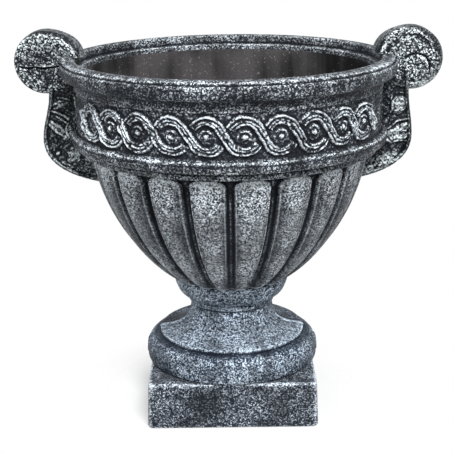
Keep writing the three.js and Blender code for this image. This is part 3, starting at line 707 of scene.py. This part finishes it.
handleCarving = {
    # centre x, centre z, half width, half height, lean in degrees, height, leaf ribs
    1: {"bosses": [(162.6, 303.9, 7.6, 9.4, -14, 4.2, 0), (162.4, 276.4, 12.4, 8.4, 14, 4.0, 2),
                   (168.5, 283.5, 6.5, 3.6, 30, 4.2, 1), (152.5, 273.5, 6.5, 7.5, 0, 3.4, 2),
                   (152.0, 251.0, 13.5, 6.0, 24, 3.0, 1), (137.0, 242.0, 11.0, 5.0, 22, 2.4, 2)],
        # from x, z to x, z, bow to the side, half width, height
        "ridges": [(173.5, 291.5, 152.0, 280.5, 1.8, 1.0, 2.4), (173.5, 269.0, 154.5, 265.5, 2.2, 0.9, 1.8),
                   (155.0, 312.0, 153.0, 292.0, -2.0, 0.9, 1.4)],
        # x, z, half width, depth
        "holes": [(149.5, 306.0, 4.6, 3.6), (150.0, 292.0, 4.2, 3.6), (166.5, 260.5, 5.0, 3.2),
                  (154.0, 260.0, 3.4, 1.8), (164.0, 321.0, 7.0, 2.6)]},
    -1: {"bosses": [(165.4, 285.3, 11.8, 5.0, 42, 3.6, 2), (156.0, 281.0, 5.0, 8.0, 24, 3.0, 1),
                    (162.0, 309.0, 8.5, 4.6, -20, 2.6, 2), (151.2, 258.0, 6.5, 10.0, 8, 3.4, 3),
                    (166.5, 261.0, 2.4, 2.4, 0, 3.6, 0), (156.0, 247.0, 12.0, 4.4, 30, 2.2, 2)],
         "ridges": [(170.5, 302.5, 153.5, 294.0, 1.2, 1.0, 2.6), (167.5, 297.5, 156.0, 290.5, 0.8, 0.8, 1.8),
                    (165.5, 315.5, 152.0, 312.0, 1.0, 0.9, 1.8), (154.5, 291.0, 153.5, 276.0, -2.4, 0.9, 2.0),
                    (148.0, 318.0, 146.5, 268.0, 1.5, 1.1, 1.6)],
         "holes": [(167.8, 270.5, 5.4, 4.2), (167.4, 263.0, 4.6, 3.4), (159.0, 301.0, 3.0, 1.4),
                   (164.0, 321.5, 7.0, 2.6), (150.5, 303.0, 3.0, 1.6)]},
}


def bracketRelief(x, z, side):
    carving = handleCarving[side]
    x = x + 0.6 * rumple(x, z, 12, 41 + side)
    z = z + 0.6 * rumple(x, z, 13, 43 + side)
    height = np.zeros(x.shape)
    for cx, cz, wide, tall, lean, top, ribs in carving["bosses"]:
        c, s = math.cos(math.radians(lean)), math.sin(math.radians(lean))
        u, v = (x - cx) * c + (z - cz) * s, -(x - cx) * s + (z - cz) * c
        reach = (u / wide) ** 2 + (v / tall) ** 2
        boss = top * np.clip(1 - reach, 0, 1) ** 0.5
        if ribs:
            veins = 0.5 + 0.5 * np.cos((v / tall + 0.12 * np.sin(u / wide * 3)) * math.pi * ribs)
            boss = boss - 1.1 * veins * (reach < 1)
        height = np.maximum(height, boss)
    for x0, z0, x1, z1, bow, half, top in carving["ridges"]:
        dx, dz = x1 - x0, z1 - z0
        length = math.hypot(dx, dz)
        t = ((x - x0) * dx + (z - z0) * dz) / length ** 2
        bent = bow * 4 * np.clip(t, 0, 1) * (1 - np.clip(t, 0, 1))
        across = ((x - x0) * dz - (z - z0) * dx) / length - bent
        height = height + top * hill(across, half) * ease(t, -0.05, 0.08) * (1 - ease(t, 0.92, 1.05))
    for hx, hz, size, depth in carving["holes"]:
        height = height - depth * hill(np.hypot(x - hx, z - hz), size)
    return height + 0.30 * rumple(x, z, 3.5, 45 + side) + 0.18 * rumple(x, z, 2.2, 46 + side)


# the left bracket bellies out further and hangs a little lower than the right one
def bracketOuter(side, count):
    reach = handle["bracketReach"] + (handle["leftBelly"] if side < 0 else 0)
    top = handle["bracketReach"] - 4
    drop = 0 if side > 0 else handle["leftDrop"]
    belly = (reach, 275 - drop)
    lower = bezier([(112, 231 - drop), (150 + drop, 236 - drop), (reach, 250 - drop), belly], count)
    upper = bezier([belly, (reach, 292), (top, 302), (top, 320)], count)
    stem = np.array([(top, 320), (top, 332)], float)
    return np.vstack([lower[:-1], upper[:-1], stem])


# each row's (x, z), repeated at every y
def acrossRows(rows, y):
    x, z = rows[:, :1], rows[:, 1:]
    return np.stack([x + 0 * y, y + 0 * x, z + 0 * y], axis=-1)


def makeBracket(side):
    outer = resample(bracketOuter(side, 80), 0.7)
    share = np.linspace(0, 1, len(outer))
    innerZ = 238 + share * 95
    innerX = np.interp(innerZ, [238, 262, 284, 334], [104, 130, 142.3, 142.3])
    inner = np.stack([innerX, innerZ], axis=1)
    half = handle["bracketHalf"]
    u = np.linspace(0, 1, 76) ** 0.85
    across = inner[:, None, :] + (outer - inner)[:, None, :] * u[None, :, None]
    width = np.linalg.norm(outer - inner, axis=1)[:, None]
    fromEdge = (1 - u)[None, :] * width
    relief = bracketRelief(across[..., 0], across[..., 1], side)
    if side < 0:
        relief = 0.85 * relief + 0.6
    rounding = 1.8 * (1 - ease(fromEdge, 0, 2.6)) ** 2
    sunk = handle["panelDepth"] * ease(fromEdge, handle["strap"] - 0.8, handle["strap"] + 1.0)
    raised = relief * ease(fromEdge, handle["strap"] - 2.4, handle["strap"] + 1)
    raised = np.minimum(raised, handle["panelDepth"] + 1)
    depth = half - rounding - sunk + raised
    front = np.stack([across[..., 0], -depth, across[..., 1]], axis=-1)
    back = (front * (1, -1, 1))[:, ::-1]
    band = acrossRows(outer, np.linspace(-half + 1.8, half - 1.8, 24)[1:-1])
    band[..., 0] += 0.2 * rumple(band[..., 1], band[..., 2], 9, 47)
    wall = acrossRows(inner, np.linspace(half - 6, -half + 6, 6))
    grid = np.concatenate([front, band, back, wall], axis=1)
    grid[..., 0] *= side
    if side < 0:
        grid = grid[:, ::-1]
    return gridMesh("bracketPart", grid, ends=(0, -1))


# what the handle is scribed to: the bowl with a small gap, closed over the mouth
def bowlEnvelope():
    lobes = resample(groundCurve(60), 4)
    upper = roundedLine(upperCorners())
    rimEnd = np.argmax(upper[:, 1])
    upper = upper[1:rimEnd + 1]
    lower = np.vstack([[(0.5, 200)], lobes[lobes[:, 1] > 200]])
    profile = np.vstack([lower, upper, [(0.5, upper[-1, 1])]])
    radius, height, angle = revolve(profile, 480)
    lobe = lobeShape(height, angle, radius)[0]
    rows = np.arange(len(profile))[:, None]
    onLobes = (rows >= 1) & (rows < len(lower))
    radius = radius + np.where(onLobes, lobe, 0)
    radius = np.where(radius > 1, radius + handle["gap"], radius)
    height = height + np.where(height > 350, handle["gap"], 0)
    return gridMesh("envelope", onAxis(radius, height, angle), ends=(0, -1))


def makeHandle(side, name):
    piece = makeVolute(side)
    piece.name = name
    combine(piece, makeBracket(side), "UNION")
    if side < 0:
        combine(piece, makeTongue(), "UNION")
    cutAway(piece, bowlEnvelope())
    places = vertexArray(piece)
    x, y, z = side * places[:, 0], np.abs(places[:, 1]), places[:, 2]
    onVolute = np.hypot(x - handle["voluteX"] + 2, z - handle["voluteZ"]) < handle["voluteRadius"] + 4
    face = y > handle["bracketHalf"] - handle["panelDepth"] - 1.2
    raised = bracketRelief(x, z, side)
    if side > 0:
        inPanel = 0.04 + 0.50 * ease(raised, 0.6, 3.0) + 0.34 * (1 - ease(z, 252, 264))
    else:
        inPanel = 0.17 + 0.36 * ease(raised, 0.2, 2.2)
    inPanel -= 0.22 * ease(-raised, 0.6, 2.0)
    paint = np.where(face & ~onVolute, inPanel, 0.27)
    facePaint, faceGrit = volutePaint(x - handle["voluteX"], z - handle["voluteZ"], side)
    onEnd = onVolute & (y > 9)
    paint = np.where(onEnd, facePaint, np.where(onVolute, 0.24, paint))
    partLine = 0.3 * hill(y, 0.8) * (z < 322)
    storeFinish(piece, paint + partLine, np.where(onEnd, faceGrit, 0.85))
    return piece


# Finish: a dark casting, dry-brushed so that the raised parts and the grain catch the grey
def newMaterial(name):
    material = bpy.data.materials.new(name)
    material.use_nodes = True
    tree = material.node_tree
    return material, tree, tree.nodes["Principled BSDF"]


def newGroup(name, inputs, outputs):
    group = bpy.data.node_groups.new(name, "ShaderNodeTree")
    for socketName, value in inputs.items():
        kind = "NodeSocketColor" if isinstance(value, tuple) else "NodeSocketFloat"
        socket = group.interface.new_socket(socketName, in_out="INPUT", socket_type=kind)
        socket.default_value = value
    for socketName, kind in outputs.items():
        group.interface.new_socket(socketName, in_out="OUTPUT", socket_type=kind)
    return group


# numbers and colours are set on the socket, outputs of other nodes are linked to it
def feed(tree, socket, value):
    if isinstance(value, (int, float, tuple)):
        socket.default_value = value
    else:
        tree.links.new(value, socket)


def objectPlace(tree):
    return tree.nodes.new("ShaderNodeTexCoord").outputs["Object"]


def attribute(tree, name):
    node = tree.nodes.new("ShaderNodeAttribute")
    node.attribute_name = name
    return node.outputs["Fac"]


def stretched(tree, vector, scale):
    node = tree.nodes.new("ShaderNodeMapping")
    feed(tree, node.inputs["Vector"], vector)
    feed(tree, node.inputs["Scale"], scale)
    return node.outputs["Vector"]


def calc(tree, operation, *values):
    node = tree.nodes.new("ShaderNodeMath")
    node.operation = operation
    for socket, value in zip(node.inputs, values):
        feed(tree, socket, value)
    return node.outputs[0]


def noise(tree, vector, scale, detail, roughness=0.55):
    node = tree.nodes.new("ShaderNodeTexNoise")
    names = ("Vector", "Scale", "Detail", "Roughness")
    for name, value in zip(names, (vector, scale, detail, roughness)):
        feed(tree, node.inputs[name], value)
    return node.outputs[0]


def remap(tree, value, low, high, toLow=0.0, toHigh=1.0, kind="SMOOTHSTEP"):
    node = tree.nodes.new("ShaderNodeMapRange")
    node.interpolation_type = kind
    names = ("Value", "From Min", "From Max", "To Min", "To Max")
    for name, entry in zip(names, (value, low, high, toLow, toHigh)):
        feed(tree, node.inputs[name], entry)
    return node.outputs[0]


def mix(tree, factor, first, second):
    node = tree.nodes.new("ShaderNodeMix")
    node.data_type = "RGBA"
    for i, value in zip((0, 6, 7), (factor, first, second)):      # 6 and 7 are its colour sockets
        feed(tree, node.inputs[i], value)
    return node.outputs[2]


# what each thing adds to the cover of the brush, how the grain is made up, and the near-black of the painted
# shade in creases
brushwork = {
    "edge": 0.36, "crease": -0.60, "deep": -0.30, "broad": 0.45, "patches": 0.30,
    "cells": 0.90, "soft": 0.10, "falloff": 2.1, "creaseShadeColor": (0.006, 0.006, 0.008, 1),
    "bump": 0.9, "bumpDistance": 0.0009, "sheen": 0.12,
}


def dryBrushGroup():
    group = newGroup("dryBrush", {
        "Paint": 0.5, "Proud": 0.0, "Deep": 0.0, "Ground": (0.02, 0.022, 0.026, 1),
        "Shade": (0.03, 0.03, 0.03, 1), "Brush": (0.5, 0.54, 0.58, 1),
        "Grain": 520.0, "Contrast": 0.5, "Grit": 1.0, "Streak": 0.0,
    }, {"Color": "NodeSocketColor", "Roughness": "NodeSocketFloat", "Height": "NodeSocketFloat"})
    source = group.nodes.new("NodeGroupInput").outputs
    target = group.nodes.new("NodeGroupOutput").inputs
    place = objectPlace(group)

    def work(operation, *values):
        return calc(group, operation, *values)

    cells = group.nodes.new("ShaderNodeTexVoronoi")
    feed(group, cells.inputs["Vector"], place)
    feed(group, cells.inputs["Scale"], source["Grain"])
    split = group.nodes.new("ShaderNodeSeparateColor")
    feed(group, split.inputs[0], cells.outputs["Color"])
    fine = split.outputs[0]
    middle = noise(group, place, work("MULTIPLY", source["Grain"], 0.5), 1.0)
    patches = noise(group, place, 42.0, 1.6, 0.6)
    broad = noise(group, place, 13.0, 2.0)
    lying = noise(group, stretched(group, place, (0.10, 0.10, 1.0)), 330.0, 2.0)
    upright = noise(group, stretched(group, place, (1.0, 1.0, 0.09)), 290.0, 2.0)

    # how high the grain stands, from 0 to 1
    strokes = mix(group, source["Streak"], lying, upright)
    soft = work("ADD", work("MULTIPLY", middle, 0.6), work("MULTIPLY", strokes, 0.4))
    soft = remap(group, soft, 0.38, 0.62, kind="LINEAR")
    grain = work("MULTIPLY_ADD", fine, brushwork["cells"], work("MULTIPLY", soft, brushwork["soft"]))

    # edges take more of the brush, creases and deep ground less, which stands for brush that misses them and
    # for painted shade in them; the rest drifts slowly
    edge = remap(group, source["Proud"], 0.12, 1.0)
    crease = work("MAXIMUM", work("MULTIPLY", source["Proud"], -1.0), 0.0)
    cover = source["Paint"]
    for name, share in (("edge", edge), ("crease", crease), ("deep", source["Deep"]),
                        ("broad", work("SUBTRACT", broad, 0.5)), ("patches", work("SUBTRACT", patches, 0.5))):
        cover = work("MULTIPLY_ADD", share, brushwork[name], cover)
    rough = work("MULTIPLY", source["Contrast"], remap(group, patches, 0.36, 0.60, 0.70, 1.15))
    rough = work("MULTIPLY", rough, source["Grit"])
    level = work("MULTIPLY_ADD", work("SUBTRACT", grain, 0.5), rough, cover)
    level = work("MINIMUM", work("MAXIMUM", level, 0.0), 1.0)
    amount = work("POWER", level, brushwork["falloff"])

    body = mix(group, remap(group, patches, 0.40, 0.62), source["Ground"], source["Shade"])
    # creases go towards a near-black painted shade
    body = mix(group, remap(group, crease, 0.20, 0.9, 1.0, 0.30), brushwork["creaseShadeColor"], body)
    bumps = work("MULTIPLY_ADD", middle, 0.5, work("MULTIPLY", fine, 0.55))
    feed(group, target["Color"], mix(group, amount, body, source["Brush"]))
    feed(group, target["Roughness"], remap(group, amount, 0.0, 1.0, 0.55, 0.80, "LINEAR"))
    feed(group, target["Height"], bumps)
    return group


dryBrush = dryBrushGroup()


def castMaterial(name, look):
    material, tree, shader = newMaterial(name)
    brush = tree.nodes.new("ShaderNodeGroup")
    brush.node_tree = dryBrush
    for layer in ("paint", "grit", "proud", "deep"):
        feed(tree, brush.inputs[layer.capitalize()], attribute(tree, layer))
    for name in ("ground", "shade", "brush", "grain", "contrast", "streak"):
        value = look[name]
        feed(tree, brush.inputs[name.capitalize()], (*value, 1) if isinstance(value, tuple) else value)
    color = brush.outputs["Color"]
    if "inside" in look:
        color = mix(tree, attribute(tree, "inside"), color, insideColor(tree, look["inside"]))
    bump = tree.nodes.new("ShaderNodeBump")
    bump.inputs["Strength"].default_value = brushwork["bump"]
    bump.inputs["Distance"].default_value = brushwork["bumpDistance"]
    feed(tree, bump.inputs["Height"], brush.outputs["Height"])
    feed(tree, shader.inputs["Base Color"], color)
    feed(tree, shader.inputs["Roughness"], brush.outputs["Roughness"])
    feed(tree, shader.inputs["Normal"], bump.outputs["Normal"])
    shader.inputs["Specular IOR Level"].default_value = brushwork["sheen"]
    return material


# plain dark lining with vertical runs and a few pale specks
def insideColor(tree, look):
    place = objectPlace(tree)
    runs = noise(tree, stretched(tree, place, (1, 1, 0.06)), 62.0, 3.0)
    broad = noise(tree, place, 11.0, 2.0)
    specks = noise(tree, place, 430.0, 1.0)
    tone = calc(tree, "ADD", calc(tree, "MULTIPLY", runs, 0.35), calc(tree, "MULTIPLY", broad, 0.65))
    body = mix(tree, remap(tree, tone, 0.38, 0.62), (*look["dark"], 1), (*look["pale"], 1))
    level = calc(tree, "ADD", specks, calc(tree, "MULTIPLY", broad, 0.25))
    dots = calc(tree, "MULTIPLY", remap(tree, level, 0.80, 0.86), 0.5)
    return mix(tree, dots, body, (*look["speck"], 1))


finishes = {
    "bowl": {"ground": (0.009, 0.011, 0.015), "shade": (0.017, 0.022, 0.030), "brush": (0.85, 0.93, 1.0),
             "grain": 900, "contrast": 1.25, "streak": 0.55,
             "inside": {"dark": (0.010, 0.010, 0.011), "pale": (0.090, 0.086, 0.089),
                        "speck": (0.34, 0.32, 0.28)}},
    "foot": {"ground": (0.009, 0.015, 0.027), "shade": (0.018, 0.029, 0.050), "brush": (0.72, 0.85, 0.99),
             "grain": 950, "contrast": 1.34, "streak": 0.3},
    "plinth": {"ground": (0.009, 0.012, 0.019), "shade": (0.015, 0.020, 0.031), "brush": (0.78, 0.87, 0.98),
               "grain": 1000, "contrast": 1.35, "streak": 0.25},
    "handle": {"ground": (0.006, 0.008, 0.011), "shade": (0.011, 0.014, 0.019), "brush": (0.88, 0.97, 1.0),
               "grain": 800, "contrast": 1.25, "streak": 0.4},
}


def dress(piece, node, finish, closeSteps=12):
    storeWear(piece, closeSteps)
    shadeSmooth(piece)
    piece.data.materials.clear()
    piece.data.materials.append(finish)
    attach(piece, "root")
    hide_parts(node)
    print(piece.name, "made:", len(piece.data.polygons), "faces")


handleFinish = castMaterial("handleFinish", finishes["handle"])
dress(makeBowl(), "bowl", castMaterial("bowlFinish", finishes["bowl"]))
dress(makeFoot(), "foot", castMaterial("footFinish", finishes["foot"]), 6)
dress(makePlinth(), "plinth", castMaterial("plinthFinish", finishes["plinth"]), 3)
dress(makeHandle(1, "handleRight"), "handle_right", handleFinish)
dress(makeHandle(-1, "handleLeft"), "handle_left", handleFinish)


# Screws, washers and the gasket keep their frame shapes
hardware = {
    "zincSteel": {"scale": 300.0, "detail": 3.0, "dark": (0.42, 0.43, 0.44), "pale": (0.68, 0.69, 0.70),
                  "roughness": (0.28, 0.5), "metallic": 1.0},
    "blackRubber": {"scale": 500.0, "detail": 2.0, "dark": (0.010, 0.010, 0.011),
                    "pale": (0.030, 0.030, 0.032), "roughness": (0.75, 0.95), "metallic": 0.0},
}


def cloudyMaterial(name, look):
    material, tree, shader = newMaterial(name)
    cloud = noise(tree, objectPlace(tree), look["scale"], look["detail"])
    color = mix(tree, cloud, (*look["dark"], 1), (*look["pale"], 1))
    feed(tree, shader.inputs["Base Color"], color)
    feed(tree, shader.inputs["Roughness"], remap(tree, cloud, 0.3, 0.7, *look["roughness"]))
    shader.inputs["Metallic"].default_value = look["metallic"]
    return material


steel, rubber = [cloudyMaterial(name, look) for name, look in hardware.items()]
for name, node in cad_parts.items():
    if "screw" in name or "washer" in name or "gasket" in name:
        node.data.materials.clear()
        node.data.materials.append(rubber if "gasket" in name else steel)
print("fasteners finished")


# Studio: pale floor that fades out, white surround, a key light in front and a weak one from the left
studio = {
    "floorReach": 0.19, "fadeFrom": 0.02, "surround": 0.52, "aim": (0, 0, 0.2),      # metres
    # place, width, watts
    "lights": {"keyLight": ((0.35, -1.30, 1.50), 0.55, 37), "fillLight": ((-1.3, -1.0, 1.0), 1.1, 4)},
}


def makeFloor():
    reach = studio["floorReach"]
    steps = np.linspace(0, 1, 25)[1:]
    angle = np.arange(96) / 96 * tau
    radius = (reach * 1000 * steps)[:, None] + 0 * angle
    rings = onAxis(radius, 0 * radius, angle + 0 * radius)
    floor = gridMesh("studioFloor", rings[:, ::-1], ends=(0,))

    material, tree, shader = newMaterial("paleFloor")
    place = objectPlace(tree)
    length = tree.nodes.new("ShaderNodeVectorMath")
    length.operation = "LENGTH"
    feed(tree, length.inputs[0], place)
    fade = remap(tree, length.outputs["Value"], studio["fadeFrom"], reach * 0.98, 1.0, 0.0)
    feed(tree, shader.inputs["Alpha"], fade)
    cloud = noise(tree, place, 9.0, 2.0)
    feed(tree, shader.inputs["Base Color"], mix(tree, cloud, (0.93, 0.93, 0.93, 1), (0.96, 0.96, 0.96, 1)))
    shader.inputs["Roughness"].default_value = 0.95
    shader.inputs["Specular IOR Level"].default_value = 0.1
    floor.data.materials.append(material)


# white for the camera and in mirrors, weaker as a light
def makeSurround():
    world = bpy.context.scene.world or bpy.data.worlds.new("studioWorld")
    bpy.context.scene.world = world
    world.use_nodes = True
    tree = world.node_tree
    back = tree.nodes["Background"].inputs
    back["Color"].default_value = (1, 1, 1, 1)
    path = tree.nodes.new("ShaderNodeLightPath").outputs
    mirrored = calc(tree, "MAXIMUM", path["Is Glossy Ray"], path["Is Transmission Ray"])
    seen = calc(tree, "MAXIMUM", path["Is Camera Ray"], mirrored)
    feed(tree, back["Strength"], remap(tree, seen, 0.0, 1.0, studio["surround"], 1.0, "LINEAR"))


def makeLights():
    for name, (place, size, power) in studio["lights"].items():
        data = bpy.data.lights.new(name, "AREA")
        data.size = size
        data.energy = power
        lamp = bpy.data.objects.new(name, data)
        bpy.context.scene.collection.objects.link(lamp)
        lamp.location = place
        aim = Vector(studio["aim"]) - lamp.location
        lamp.rotation_euler = aim.to_track_quat("-Z", "Y").to_euler()


makeFloor()
makeSurround()
makeLights()
bpy.context.scene.view_settings.view_transform = "Standard"
print("studio ready")
